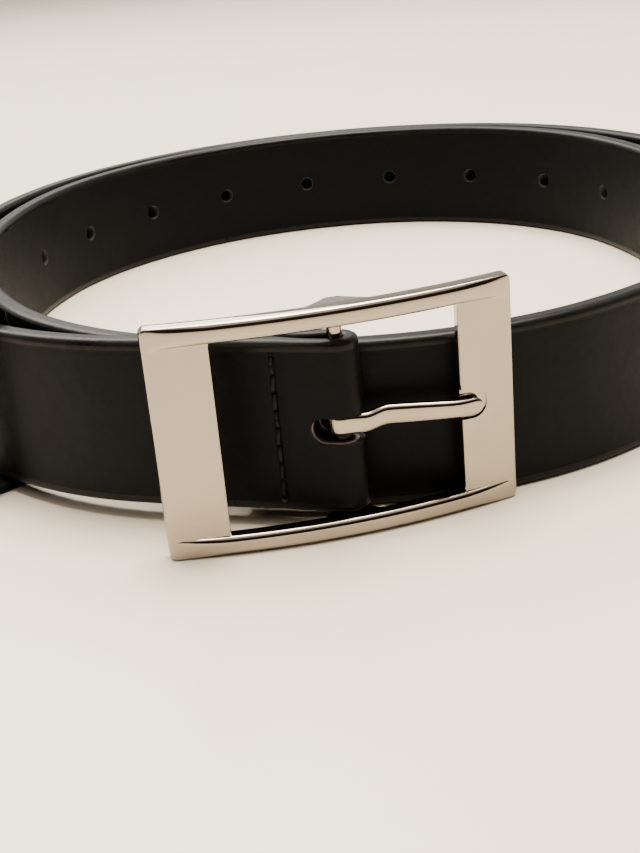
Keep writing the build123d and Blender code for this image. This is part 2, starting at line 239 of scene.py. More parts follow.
def broad_face(half, depth, groove):
    """Points across one broad face, bottom to top, with the creased line near each edge."""
    shrink = min(1.0, half / 7)
    points = []
    for offset, share in CREASE_SHAPE:
        points.append(((half - (CREASE_INSET + offset) * shrink), depth + groove * share))
    inner = half - 2.9 * shrink
    return (
        [(-height, level) for height, level in points]
        + [(share * inner, depth) for share in FLAT_SHARES]
        + [(height, level) for height, level in reversed(points)]
    )


def quarter(radius, half, depth, into):
    """Rounded corner from the broad face at depth round to the edge, as (height, depth)."""
    points = []
    for index in range(5):
        turn = math.pi / 2 * index / 4
        height = half - radius * (1 - math.sin(turn))
        points.append((height, depth + into * radius * (1 - math.cos(turn))))
    return points


def outline(half, outer, inner, round_outer, round_inner, creased):
    """Closed outline of one layer as (height, depth, on the edge)."""
    squeeze = min(1.0, half / 3)
    side = []
    if round_outer:
        side += quarter(round_outer * (inner - outer) * squeeze, half, outer, 1)
    else:
        side.append((half, outer))
    if round_inner:
        side += reversed(quarter(round_inner * (inner - outer) * squeeze, half, inner, -1))
    else:
        side.append((half, inner))
    groove = CREASE_DEPTH * creased
    points = [(height, depth, False) for height, depth in broad_face(half, outer, groove)]
    points += [(height, depth, True) for height, depth in side]
    points += [(height, depth, False) for height, depth in reversed(broad_face(half, inner, 0.0))]
    points += [(-height, depth, True) for height, depth in reversed(side)]
    return points


def new_object(name, mesh):
    obj = bpy.data.objects.new(name, mesh)
    bpy.context.scene.collection.objects.link(obj)
    return obj


def finish_mesh(name, bm):
    """Object from a finished bmesh, its faces turned outward."""
    bmesh.ops.recalc_face_normals(bm, faces=bm.faces)
    mesh = bpy.data.meshes.new(name)
    bm.to_mesh(mesh)
    bm.free()
    return new_object(name, mesh)


def loft(bm, rings, material=0):
    """Skin of quads over rings of vertices, capped at both ends."""
    for low, high in zip(rings, rings[1:]):
        for index in range(len(low)):
            after = (index + 1) % len(low)
            face = bm.faces.new((low[index], high[index], high[after], low[after]))
            face.smooth = True
            face.material_index = material
    bm.faces.new(list(reversed(rings[0]))).material_index = material
    bm.faces.new(rings[-1]).material_index = material


def layer_mesh(name, outer, inner, round_outer, round_inner, creased):
    """Closed mesh of one layer along all the stations."""
    bm = bmesh.new()
    rings = []
    for station in STATIONS:
        depths = (station.depth(outer), station.depth(inner))
        points = outline(station.half, *depths, round_outer, round_inner, creased)
        ring = []
        for height, depth, _ in points:
            place = station.point + station.normal * (depth - unevenness(station.distance, height))
            level = station.low + STRAP_WIDTH / 2 + height
            ring.append(bm.verts.new(Vector((place.x, place.y, level)) * MM))
        rings.append(ring)
    loft(bm, rings, material=1)
    edge_flags = [on_edge for _, _, on_edge in points]
    on_face = {vertex for ring in rings for vertex, on_edge in zip(ring, edge_flags) if not on_edge}
    for face in bm.faces:
        if len(face.verts) == 4 and all(vertex in on_face for vertex in face.verts):
            face.material_index = 0
    return finish_mesh(name, bm)


# ------------------------------------------------------------------ cutters
def strap_axes(distance, depth, height):
    """Matrix at a point of the strap: X along it, Y up, Z into its thickness."""
    point, angle = plan(distance)
    along, into = heading(angle), inward(angle)
    place = point + into * depth
    matrix = Matrix.Identity(4)
    matrix.col[0].xyz = Vector((along.x, along.y, 0))
    matrix.col[1].xyz = Vector((0, 0, 1))
    matrix.col[2].xyz = Vector((into.x, into.y, 0))
    matrix.translation = Vector((place.x, place.y, lift_at(distance) + STRAP_WIDTH / 2 + height))
    return matrix


def lathe(bm, matrix, rows, sides=36):
    """Closed round solid from (radius, z) rows."""
    rings = []
    for radius, level in rows:
        ring = []
        for index in range(sides):
            turn = 2 * math.pi * index / sides
            local = Vector((radius * math.cos(turn), radius * math.sin(turn), level))
            ring.append(bm.verts.new((matrix @ local) * MM))
        rings.append(ring)
    loft(bm, rings)


def stadium(bm, matrix, length, height, low, high, sides=12, material=0):
    """Prism with round ends, along X, from z low to z high."""
    radius = height / 2
    middle = (length - height) / 2
    points = []
    for index in range(sides + 1):
        turn = -math.pi / 2 + math.pi * index / sides
        points.append((middle + math.cos(turn) * radius, math.sin(turn) * radius))
    points += [(-x, -y) for x, y in points]
    rings = []
    for level in (low, high):
        rings.append([bm.verts.new((matrix @ Vector((x, y, level))) * MM) for x, y in points])
    loft(bm, rings, material=material)


def stitch_heights():
    """Heights of the awl holes from the strap's middle line."""
    return [(index - STITCH_COUNT / 2) * STITCH_PITCH for index in range(STITCH_COUNT + 1)]


def cutter_object():
    """Every hole in the strap: the punched row, the prong's slot, the stitch channels and awl holes."""
    bm = bmesh.new()
    flare = HOLE_RADIUS + 0.25
    near = [(flare, -0.5), (flare, -0.02), (HOLE_RADIUS + 0.06, 0.28), (HOLE_RADIUS, 0.6)]
    far = [(radius, THICKNESS - level) for radius, level in reversed(near)]
    for index in range(HOLE_COUNT):
        lathe(bm, strap_axes(STRAP_LENGTH - LAST_HOLE_FROM_TIP - index * HOLE_PITCH, 0, 0), near + far)
    slot_length = SLOT_REACH + FOLD_RADIUS + 2
    slot = strap_axes(SLOT_REACH - slot_length / 2, 0, SLOT_LEVEL - LIFT - STRAP_WIDTH / 2)
    stadium(bm, slot, slot_length, SLOT_HEIGHT, -1.0, 2 * FOLD_RADIUS + 0.6, material=1)
    for depth, into in ((0.0, 1), (SEWN_DEPTH, -1)):
        channel = strap_axes(STITCH_FROM_BAR, depth, 0) @ Matrix.Rotation(math.pi / 2, 4, "Z")
        stadium(bm, channel, (STITCH_COUNT + 0.5) * STITCH_PITCH, 1.0, -0.6, 0.6)
        for height in stitch_heights():
            awl = strap_axes(STITCH_FROM_BAR, depth, height)
            lathe(bm, awl, [(0.62, -0.7 * into), (0.55, 0.2 * into), (0.36, 1.1 * into)], 16)
    return finish_mesh("cutters", bm)


def boolean(obj, other, operation):
    """Cuts or joins with another object, and applies it."""
    modifier = obj.modifiers.new("cut", "BOOLEAN")
    modifier.operation = operation
    modifier.solver = "EXACT"
    modifier.use_self = operation == "DIFFERENCE"
    modifier.material_mode = "TRANSFER"
    modifier.object = other
    graph = bpy.context.evaluated_depsgraph_get()
    mesh = bpy.data.meshes.new_from_object(obj.evaluated_get(graph))
    obj.modifiers.clear()
    old = obj.data
    obj.data = mesh
    bpy.data.meshes.remove(old)


def sharpen(obj, degrees):
    """Smooth shading, with edges steeper than this kept crisp."""
    for polygon in obj.data.polygons:
        polygon.use_smooth = True
    obj.data.set_sharp_from_angle(angle=math.radians(degrees))


# ------------------------------------------------------------------ thread
def tube(bm, points, radius, sides=10):
    """Closed tube with round ends along points."""
    rings = []
    for index, point in enumerate(points):
        ahead = points[min(index + 1, len(points) - 1)] - points[max(index - 1, 0)]
        turn = ahead.to_track_quat("Z", "Y").to_matrix()
        from_end = min(index, len(points) - 1 - index)
        size = radius * (0.45, 0.85, 1.0)[min(from_end, 2)]
        ring = []
        for side in range(sides):
            angle = 2 * math.pi * side / sides
            out = turn @ Vector((math.cos(angle), math.sin(angle), 0))
            ring.append(bm.verts.new((point + out * size) * MM))
        rings.append(ring)
    loft(bm, rings)


def thread_mesh():
    """Lock stitches: each run bows out of the channel and dives into the next awl hole."""
    bm = bmesh.new()
    heights = stitch_heights()
    for depth, into in ((0.0, 1), (SEWN_DEPTH, -1)):
        for low, high in zip(heights, heights[1:]):
            slant = RNG.uniform(-0.08, 0.08)
            points = []
            for index in range(13):
                share = index / 12
                sunk = 0.36 - 0.34 * math.sin(math.pi * share) ** 0.6 + 0.75 * abs(2 * share - 1) ** 6
                matrix = strap_axes(STITCH_FROM_BAR + slant * (share - 0.5) * 4, depth + into * sunk, 0)
                points.append((matrix @ Vector((0, low + (high - low) * share, 0))))
            tube(bm, points, 0.34)
    return finish_mesh("lock_stitching", bm)


# ------------------------------------------------------------------ buckle, in its own axes
FRAME_TURN = 12.2                 # how far the buckle is turned on its strap, degrees
TURN = Matrix.Translation((BAR.x, BAR.y, 0)) @ Matrix.Rotation(math.radians(FRAME_TURN), 4, "Z")
FRAME_LENGTH = 60.2
FRAME_HEIGHT = 39.6
FRAME_SHIFT = -0.95
FRAME_THICKNESS = 2.6
FRONT_RADIUS = 118.0
CROWN = 6.85
RAIL = 3.4
RECESS = 0.9
LEFT_BAR = 10.15
RIGHT_BAR = 9.75
LEFT = FRAME_SHIFT - FRAME_LENGTH / 2
RIGHT = FRAME_SHIFT + FRAME_LENGTH / 2
WINDOW = (LEFT + LEFT_BAR, RIGHT - RIGHT_BAR)
CORNER = 1.2
LUG_HEIGHT = 2.9
LUG_DROP = 2.2
LUG_BACK = 2.15                   # behind the bar's axis
BAR_RADIUS = 1.25
BAR_PRESS = 0.01
BAR_GAP = 1.6                     # the bar's ends stop inside the lugs
REST_REACH = 4.6                  # the prong's rest, from the window into the right end bar
REST_LENGTH = 13.2
REST_HEIGHT = 5.2
REST_DEPTH = 0.35
REST_LEVEL = 18.8
REST_CLEAR = 6.0                  # the rest's cutter reaches this far ahead of its floor
NUDGES = (-1e-6, 1e-6)            # a point on the window's edge still belongs to the frame


def ease(t):
    """Quarter round: 0 at t = 0, 1 with an upright end at t = 1."""
    t = min(max(t, 0.0), 1.0)
    return 1 - math.sqrt(max(1 - t * t, 0.0))


def arch(x):
    """Distance of the arch's front ahead of the bar's axis."""
    return CROWN - FRONT_RADIUS + math.sqrt(FRONT_RADIUS ** 2 - (x - FRAME_SHIFT) ** 2)


def relief(x, z):
    """Depth of the frame's front surface behind the arch: rounded rails, end bars set back."""
    edge = min(z, FRAME_HEIGHT - z)
    end = min(x - LEFT, RIGHT - x)
    grown = linear(0.6, 9.5, end)
    depth = 1.15 * (0.1 + 0.9 * grown) * ease((1.35 - edge) / 1.35) + 0.25 * ease((0.4 - edge) / 0.4)
    depth += RECESS * grown * ease((edge - 2.2) / (RAIL - 2.2))
    if edge > RAIL:
        window = min(abs(x - WINDOW[0]), abs(x - WINDOW[1]))
        depth += 0.25 * ease((0.45 - window) / 0.45)
    return depth + 0.5 * ease((1.1 - end) / 1.1)


def fine(*knots):
    """Grid values with the steps given as (from, to, count) spans."""
    values = []
    for low, high, count in knots:
        values += [low + (high - low) * index / count for index in range(count)]
    return values + [knots[-1][1]]


def in_window(x, z):
    """True between the end bars and between the rails."""
    return WINDOW[0] < x < WINDOW[1] and RAIL < z < FRAME_HEIGHT - RAIL


def frame_plate():
    """The frame as a grid over its front and back, open at the window."""
    across = fine(
        (LEFT, LEFT + 1.0, 9), (LEFT + 1.0, WINDOW[0] - 0.5, 9), (WINDOW[0] - 0.5, WINDOW[0], 5),
        (WINDOW[0], WINDOW[1], 44),
        (WINDOW[1], WINDOW[1] + 0.5, 5), (WINDOW[1] + 0.5, RIGHT - 1.0, 9), (RIGHT - 1.0, RIGHT, 9),
    )
    low = fine((0, 1.05, 9), (1.05, 2.3, 3), (2.3, RAIL, 11), (RAIL, RAIL + 3, 7))
    middle = fine((RAIL + 3, FRAME_HEIGHT - RAIL - 3, 18))
    up = low + middle[1:] + [FRAME_HEIGHT - level for level in reversed(low[:-1])]
    bm = bmesh.new()
    sheets = []
    for side in range(2):
        sheet = {}
        for i, x in enumerate(across):
            near_end = max(CORNER - min(x - LEFT, RIGHT - x), 0.0)
            pinch = CORNER - math.sqrt(CORNER ** 2 - near_end ** 2)
            for k, z in enumerate(up):
                if all(in_window(x + dx, z + dz) for dx in NUDGES for dz in NUDGES):
                    continue
                level = FRAME_HEIGHT / 2 + (z - FRAME_HEIGHT / 2) * (1 - 2 * pinch / FRAME_HEIGHT)
                ahead = arch(x) - (FRAME_THICKNESS if side else relief(x, z))
                sheet[i, k] = bm.verts.new((TURN @ Vector((x, -ahead, level))) * MM)
        sheets.append(sheet)
    front, back = sheets
    rim = {}
    for i in range(len(across) - 1):
        for k in range(len(up) - 1):
            corners = [(i, k), (i + 1, k), (i + 1, k + 1), (i, k + 1)]
            x, z = (across[i] + across[i + 1]) / 2, (up[k] + up[k + 1]) / 2
            if in_window(x, z):
                continue
            bm.faces.new([front[corner] for corner in corners])
            bm.faces.new([back[corner] for corner in reversed(corners)])
            for first, second in zip(corners, corners[1:] + corners[:1]):
                if (second, first) in rim:
                    del rim[second, first]
                else:
                    rim[first, second] = True
    for first, second in rim:
        bm.faces.new((front[second], front[first], back[first], back[second]))
    return finish_mesh("frame_casting", bm)


def lug_mesh(upper):
    """Domed lug behind a rail that carries one end of the bar."""
    start = CROWN - FRAME_THICKNESS + 0.6
    length = start + LUG_BACK
    bm = bmesh.new()
    rings = []
    for share in [0.0, 0.1, 0.2, 0.3, 0.4, 0.5, 0.6, 0.7, 0.78, 0.85, 0.9, 0.94, 0.97, 0.99, 1.0]:
        y = -start + length * share
        top = LUG_HEIGHT - LUG_DROP * (1 - (1 - (share * 0.99) ** 3) ** (1 / 3))
        spread = 1.7 + 4.6 * max(1 - (share - 0.1) / 0.9, 0.0) ** 2.2
        half = max(spread * math.sqrt(max(1 - max((share - 0.7) / 0.3, 0.0) ** 2, 0.0)), 0.25)
        shoulder = min(1.0, top * 0.8, half * 0.8)
        points = [(-half, 0.0), (half, 0.0)]
        for index in range(6):
            turn = math.pi / 2 * index / 5
            x = half - shoulder * (1 - math.cos(turn))
            points.append((x, top - shoulder * (1 - math.sin(turn))))
        points += [(-x, z) for x, z in reversed(points[2:])]
        ring = []
        for x, z in points:
            level = FRAME_HEIGHT - LUG_HEIGHT + z - 0.02 if upper else LUG_HEIGHT - z + 0.02
            ring.append(bm.verts.new((TURN @ Vector((x, y, level))) * MM))
        rings.append(ring)
    loft(bm, rings)
    return finish_mesh("lug", bm)


def rest_and_bore():
    """What is cut from the frame: the notch the prong rests in and the bar's holes."""
    bm = bmesh.new()
    floor = arch(WINDOW[1] + REST_REACH / 2) - RECESS - REST_DEPTH
    end = WINDOW[1] + REST_REACH - REST_LENGTH / 2
    place = TURN @ Matrix.Translation((end, -floor, REST_LEVEL))
    facing = place @ Matrix.Rotation(math.pi / 2, 4, "X")
    stadium(bm, facing, REST_LENGTH, REST_HEIGHT, 0.0, REST_CLEAR, 16)
    inside = LUG_HEIGHT + 1
    for low, high in ((BAR_GAP, inside), (FRAME_HEIGHT - inside, FRAME_HEIGHT - BAR_GAP)):
        lathe(bm, TURN, [(BAR_RADIUS + BAR_PRESS, low), (BAR_RADIUS + BAR_PRESS, high)])
    return finish_mesh("rest_and_bore", bm)


def buckle_casting():
    """The frame: plate, lugs, prong rest and bores."""
    casting = frame_plate()
    for upper in (True, False):
        lug = lug_mesh(upper)
        boolean(casting, lug, "UNION")
        bpy.data.objects.remove(lug)
    cutter = rest_and_bore()
    boolean(casting, cutter, "DIFFERENCE")
    bpy.data.objects.remove(cutter)
    return casting


PRONG_WIDTH = 3.3
PRONG_LEVEL = 18.0
EYE_MIDDLE = BAR_RADIUS + 0.08 + 0.55
SHOULDER = (6.6, 1.85)
LAND = (19.2, 4.75)
TIP = (23.0, 4.55)
BEND_WIDTH = 0.7


def soft_bend(value, width):
    """0 well below 0, then value itself, with a soft bend between."""
    return width * math.log1p(math.exp(value / width)) if value < 20 * width else value


def prong_ahead(x):
    """How far the arm's middle lies ahead of the bar's axis."""
    first = (SHOULDER[1] - EYE_MIDDLE) / SHOULDER[0]
    second = (LAND[1] - SHOULDER[1]) / (LAND[0] - SHOULDER[0])
    third = (TIP[1] - LAND[1]) / (TIP[0] - LAND[0])
    ahead = EYE_MIDDLE + first * x
    ahead += (second - first) * soft_bend(x - SHOULDER[0], BEND_WIDTH)
    return ahead + (third - second) * soft_bend(x - LAND[0], BEND_WIDTH)


def prong_mesh():
    """A flat wire rolled round the bar, bent forward and drawn to a round tip."""
    path = []
    for angle in spaced(-8, 270, 9):
        turn = math.radians(angle)
        path.append((EYE_MIDDLE * math.cos(turn), EYE_MIDDLE * math.sin(turn), 1.08, PRONG_WIDTH))
    for x in spaced(0.0, 21.6, 0.45) + spaced(21.6, TIP[0], 0.1) + [TIP[0] - 0.02]:
        thick = 1.08 + 0.72 * smooth(0.5, 4.5, x) - 0.75 * smooth(17.0, TIP[0], x)
        blunt = math.sqrt(max(1 - ((x - 21.4) / (TIP[0] - 21.4)) ** 2, 0.0)) if x > 21.4 else 1.0
        wide = (PRONG_WIDTH - 0.35 * smooth(8, 22, x)) * max(blunt, 0.06)
        path.append((x, -prong_ahead(x), thick * max(blunt, 0.12) ** 0.5, wide))
    bm = bmesh.new()
    rings = []
    for index, (x, y, thick, wide) in enumerate(path):
        before, after = path[max(index - 1, 0)], path[min(index + 1, len(path) - 1)]
        travel = Vector((after[0] - before[0], after[1] - before[1])).normalized()
        side = Vector((travel.y, -travel.x))
        ring = []
        for step in range(24):
            turn = 2 * math.pi * step / 24
            c, s = math.cos(turn), math.sin(turn)
            height = wide / 2 * math.copysign(abs(c) ** 0.55, c)
            out = thick / 2 * math.copysign(abs(s) ** 0.7, s)
            level = PRONG_LEVEL + 0.85 * smooth(3.4, 7.6, x) - 0.25 * linear(7.0, 20.0, x)
            place = Vector((x + side.x * out, y + side.y * out, level + height))
            ring.append(bm.verts.new((TURN @ place) * MM))
        rings.append(ring)
    loft(bm, rings)
    return finish_mesh("prong_wire", bm)


# ------------------------------------------------------------------ keeper
KEEPER_WIDTH = 12.0
KEEPER_WALL = 1.4
KEEPER_AT = 75.0
SLIDE_RADIUS = 76.0
KEEPER_OUTER = SLIDE_RADIUS + 4.7 + KEEPER_WALL
KEEPER_INNER = SLIDE_RADIUS - THICKNESS - 0.4 - KEEPER_WALL
KEEPER_HEIGHT = LIFT + STRAP_WIDTH + 0.7 + KEEPER_WALL
KEEPER_BEND = 1.3
KEEPER_LAP = 17.0


def keeper_path():
    """Middle of the band as (radius, height), from the inner lap round to the outer one."""
    wall = KEEPER_WALL / 2
    near, far = KEEPER_INNER + wall, KEEPER_OUTER - wall
    low, high = wall, KEEPER_HEIGHT - wall
    middle = KEEPER_HEIGHT / 2
    corners = [(near, low, 180, 270), (far, low, 270, 360), (far, high, 0, 90), (near, high, 90, 180)]
    path = [(near, level) for level in spaced(middle + KEEPER_LAP / 2, low + KEEPER_BEND, 1.2)]
    for radius, level, start, end in corners:
        inset_r = KEEPER_BEND if radius == near else -KEEPER_BEND
        inset_z = KEEPER_BEND if level == low else -KEEPER_BEND
        for angle in spaced(start, end, 12) + [end]:
            turn = math.radians(angle)
            across = radius + inset_r + KEEPER_BEND * math.cos(turn)
            path.append((across, level + inset_z + KEEPER_BEND * math.sin(turn)))
        if (radius, level) == (far, low):
            path += [(far, z) for z in spaced(low + KEEPER_BEND, high - KEEPER_BEND, 1.5)[1:]]
        if (radius, level) == (near, low):
            path += [(r, low) for r in spaced(near + KEEPER_BEND, far - KEEPER_BEND, 1.2)[1:]]
        if (radius, level) == (far, high):
            path += [(r, high) for r in spaced(far - KEEPER_BEND, near + KEEPER_BEND, 1.2)[1:]]
    start = high - KEEPER_BEND
    for level in spaced(start, middle - KEEPER_LAP / 2, 1.0)[1:] + [middle - KEEPER_LAP / 2]:
        step_out = (KEEPER_WALL + 0.03) * smooth(start - 0.3, middle + KEEPER_LAP / 2 + 0.3, level)
        path.append((near - step_out, level))
    return path


def keeper_mesh():
    """Lapped leather loop, curved like the strap it slides on."""
    middle, angle = plan(KEEPER_AT)
    pivot = middle + inward(angle) * SLIDE_RADIUS
    path = keeper_path()
    bm = bmesh.new()
    rings = []
    for index, (radius, level) in enumerate(path):
        before, after = path[max(index - 1, 0)], path[min(index + 1, len(path) - 1)]
        travel = Vector((after[0] - before[0], after[1] - before[1])).normalized()
        normal = Vector((travel.y, -travel.x))
        ring = []
        for step in range(40):
            turn = 2 * math.pi * step / 40
            c, s = math.cos(turn), math.sin(turn)
            wide = KEEPER_WIDTH / 2 * math.copysign(abs(c) ** 0.16, c)
            out = KEEPER_WALL / 2 * math.copysign(abs(s) ** 0.75, s)
            crease = 0.08 * math.exp(-((abs(wide) - KEEPER_WIDTH / 2 + 1.6) / 0.22) ** 2)
            out -= math.copysign(crease, s) if abs(s) > 0.2 else 0.0
            place_r = radius + normal.x * out
            place_z = level + normal.y * out
            swing = math.radians(angle + 90) + wide / SLIDE_RADIUS
            place = pivot + Vector((math.cos(swing), math.sin(swing))) * place_r
            ring.append(bm.verts.new(Vector((place.x, place.y, place_z)) * MM))
        rings.append(ring)
    loft(bm, rings)
    return finish_mesh("keeper_loop", bm)


# ------------------------------------------------------------------ materials
LOW_TONE = 0.3
HIGH_TONE = 0.8


class Nodes:
    """Short hand for building a node tree."""

    def __init__(self, name):
        self.material = bpy.data.materials.new(name)
        self.material.use_nodes = True
        self.tree = self.material.node_tree
        self.shader = self.tree.nodes["Principled BSDF"]

    def add(self, kind, **settings):
        node = self.tree.nodes.new(kind)
        for key, value in settings.items():
            if key in node.inputs:
                node.inputs[key].default_value = value
            else:
                setattr(node, key, value)
        return node

    def link(self, source, target):
        self.tree.links.new(source, target)

    def coordinates(self):
        return self.add("ShaderNodeTexCoord").outputs["Object"]

    def noise(self, vector, scale, detail=3.0, roughness=0.55):
        node = self.add("ShaderNodeTexNoise", Scale=scale, Detail=detail, Roughness=roughness)
        self.link(vector, node.inputs["Vector"])
        return node.outputs["Fac"]

    def cells(self, vector, scale, feature="DISTANCE_TO_EDGE"):
        node = self.add("ShaderNodeTexVoronoi", Scale=scale, feature=feature)
        self.link(vector, node.inputs["Vector"])
        return node.outputs["Distance"]

    def ramp(self, value, stops):
        node = self.add("ShaderNodeValToRGB")
        ramp = node.color_ramp
        while len(ramp.elements) < len(stops):
            ramp.elements.new(0.5)
        for element, (place, colour) in zip(ramp.elements, stops):
            element.position = place
            element.color = (*colour, 1.0) if len(colour) == 3 else colour
        self.link(value, node.inputs["Fac"])
        return node.outputs["Color"]

    def colour(self, value, dark, light):
        """Base colour from dark to light as value goes from LOW_TONE to HIGH_TONE."""
        colour = self.ramp(value, [(LOW_TONE, dark), (HIGH_TONE, light)])
        self.link(colour, self.shader.inputs["Base Color"])

    def span(self, value, low, high, to_low, to_high):
        node = self.add("ShaderNodeMapRange")
        node.inputs["From Min"].default_value = low
        node.inputs["From Max"].default_value = high
        node.inputs["To Min"].default_value = to_low
        node.inputs["To Max"].default_value = to_high
        self.link(value, node.inputs["Value"])
        return node.outputs["Result"]

    def bump(self, height, strength, distance, below=None):
        node = self.add("ShaderNodeBump", Strength=strength, Distance=distance)
        self.link(height, node.inputs["Height"])
        if below:
            self.link(below, node.inputs["Normal"])
        return node.outputs["Normal"]

    def math(self, operation, first, second):
        node = self.add("ShaderNodeMath", operation=operation)
        for socket, value in zip(node.inputs, (first, second)):
            if isinstance(value, (int, float)):
                socket.default_value = value
            else:
                self.link(value, socket)
        return node.outputs[0]


def leather(name, dark, light, gloss, grain):
    """Smooth black leather: fine pores, slow tone changes and uneven gloss."""
    nodes = Nodes(name)
    where = nodes.coordinates()
    tone = nodes.noise(where, 55, 4.0)
    scuff = nodes.noise(where, 420, 2.0, 0.7)
    colour = nodes.ramp(tone, [(0.3, dark), (0.75, light)])
    nodes.link(colour, nodes.shader.inputs["Base Color"])
    wear = nodes.math("ADD", nodes.math("MULTIPLY", scuff, 0.35), tone)
    rough = nodes.span(wear, 0.4, 1.0, gloss - 0.06, gloss + 0.10)
    nodes.link(rough, nodes.shader.inputs["Roughness"])
    pores = nodes.cells(where, 2600)
    pebble = nodes.span(pores, 0.0, 0.35, 0.0, 1.0)
    wave = nodes.noise(where, 180, 2.0)
    normal = nodes.bump(wave, 0.25, 0.0006)
    normal = nodes.bump(pebble, grain, 0.00006, normal)
    nodes.link(normal, nodes.shader.inputs["Normal"])
    nodes.shader.inputs["Specular IOR Level"].default_value = 0.09
    nodes.shader.inputs["Specular Tint"].default_value = (0.78, 0.89, 1.0, 1.0)
    return nodes.material


def edge_paint():
    """Burnished and painted edge: slightly uneven, glossier than the faces."""
    nodes = Nodes("edge_paint")
    where = nodes.coordinates()
    tone = nodes.noise(where, 130, 4.0)
    nodes.colour(tone, (0.004, 0.004, 0.004), (0.009, 0.0088, 0.0085))
    nodes.link(nodes.span(tone, 0.3, 0.8, 0.26, 0.40), nodes.shader.inputs["Roughness"])
    lumps = nodes.noise(where, 700, 3.0)
    nodes.link(nodes.bump(lumps, 0.35, 0.00018), nodes.shader.inputs["Normal"])
    nodes.shader.inputs["Specular IOR Level"].default_value = 0.13
    return nodes.material


def board():
    """Bonded fibre core, seen in cut walls."""
    nodes = Nodes("core_board")
    where = nodes.coordinates()
    fibres = nodes.noise(where, 1500, 5.0, 0.7)
    tone = nodes.ramp(fibres, [(0.3, (0.30, 0.23, 0.22)), (0.7, (0.48, 0.39, 0.38))])
    nodes.link(tone, nodes.shader.inputs["Base Color"])
    nodes.shader.inputs["Roughness"].default_value = 0.9
    nodes.link(nodes.bump(fibres, 0.6, 0.0002), nodes.shader.inputs["Normal"])
    return nodes.material


def cut_leather():
    """Raw wall of a punched hole, dyed through."""
    nodes = Nodes("cut_leather")
    where = nodes.coordinates()
    fibres = nodes.noise(where, 1800, 5.0, 0.7)
    tone = nodes.ramp(fibres, [(0.3, (0.010, 0.009, 0.009)), (0.7, (0.03, 0.026, 0.024))])
    nodes.link(tone, nodes.shader.inputs["Base Color"])
    nodes.shader.inputs["Roughness"].default_value = 0.85
    nodes.link(nodes.bump(fibres, 0.7, 0.0002), nodes.shader.inputs["Normal"])
    return nodes.material


def thread():
    """Black waxed thread."""
    nodes = Nodes("thread")
    where = nodes.coordinates()
    strands = nodes.noise(where, 2600, 3.0, 0.6)
    nodes.colour(strands, (0.0015, 0.0015, 0.0015), (0.006, 0.006, 0.006))
    nodes.shader.inputs["Roughness"].default_value = 0.6
    nodes.shader.inputs["Specular IOR Level"].default_value = 0.2
    nodes.link(nodes.bump(strands, 0.5, 0.00015), nodes.shader.inputs["Normal"])
    return nodes.material


def nickel():
    """Polished nickel with hairline handling marks; its base colour is darkened and warmed as painted
    reflected shade.
    """
    nodes = Nodes("nickel")
    where = nodes.coordinates()
    cloud = nodes.noise(where, 90, 3.0)
    # painted reflected shade: base colour set darker and warmer than bare nickel, standing in for the
    # dim warm room the metal reflects
    nodes.colour(cloud, (0.34, 0.295, 0.235), (0.38, 0.33, 0.27))
    nodes.shader.inputs["Metallic"].default_value = 1.0
    nodes.link(nodes.span(cloud, 0.3, 0.8, 0.055, 0.11), nodes.shader.inputs["Roughness"])
    stretch = nodes.add("ShaderNodeMapping")
    stretch.inputs["Scale"].default_value = (1.0, 1.0, 0.06)
    nodes.link(where, stretch.inputs["Vector"])
    hairs = nodes.noise(stretch.outputs["Vector"], 5200, 2.0)
    nodes.link(nodes.bump(hairs, 0.035, 0.00005), nodes.shader.inputs["Normal"])
    return nodes.material


def staple_wire():
    """Dull steel wire."""
    nodes = Nodes("staple_wire")
    cloud = nodes.noise(nodes.coordinates(), 600, 3.0)
    nodes.colour(cloud, (0.45, 0.45, 0.46), (0.6, 0.6, 0.6))
    nodes.shader.inputs["Metallic"].default_value = 1.0
    nodes.shader.inputs["Roughness"].default_value = 0.35
    return nodes.material


def dress(obj, *materials):
    """Gives an object its materials, keeping the material number of every face."""
    slots = obj.data.materials
    for index, material in enumerate(materials):
        if index < len(slots):
            slots[index] = material
        else:
            slots.append(material)


# ------------------------------------------------------------------ build
STATIONS = strap_stations()
FACE = leather("face_leather", (0.0016, 0.0016, 0.0016), (0.0034, 0.0033, 0.0032), 0.42, 0.22)
LINING = leather("lining_leather", (0.0013, 0.0013, 0.0014), (0.0026, 0.0026, 0.0027), 0.52, 0.35)
EDGE = edge_paint()
BOARD = board()
RAW = cut_leather()
NICKEL = nickel()


def place_piece(piece, body, slot, *nodes):
    """A finished piece takes over from its plain solids and moves with their body."""
    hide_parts(*nodes)
    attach(piece, body)


cutters = cutter_object()
face = layer_mesh("face_skin", (0.0, 0.0), FACE_BACK, 0.85, 0, True)
core = layer_mesh("core_filler", FACE_BACK, CORE_BACK, 0, 0, False)
lining = layer_mesh("lining_skin", CORE_BACK, LINING_BACK, 0, 0.85, False)
dress(face, FACE, EDGE, RAW)
dress(core, BOARD, EDGE, BOARD)
dress(lining, LINING, EDGE, RAW)
for piece, node, slot, wall in (
    (face, "strap_face", "face_leather", RAW),
    (core, "strap_core", "core_board", BOARD),
    (lining, "strap_lining", "lining_leather", RAW),
):
    dress(cutters, RAW, wall)
    boolean(piece, cutters, "DIFFERENCE")
    sharpen(piece, 38)
    place_piece(piece, "strap", slot, node)
bpy.data.objects.remove(cutters)

stitching = thread_mesh()
dress(stitching, thread())
sharpen(stitching, 60)
place_piece(stitching, "strap", "thread", "fold_stitching")

casting = buckle_casting()
dress(casting, NICKEL)
sharpen(casting, 34)
place_piece(casting, "buckle", "nickel", "buckle_frame")

wire = prong_mesh()
dress(wire, NICKEL)
sharpen(wire, 50)
place_piece(wire, "prong", "nickel", "prong")

loop = keeper_mesh()
dress(loop, FACE)
sharpen(loop, 50)
place_piece(loop, "keeper", "face_leather", "keeper_band")

dress(frame["nodes"]["centre_bar"], NICKEL)
dress(frame["nodes"]["keeper_staples"], staple_wire())

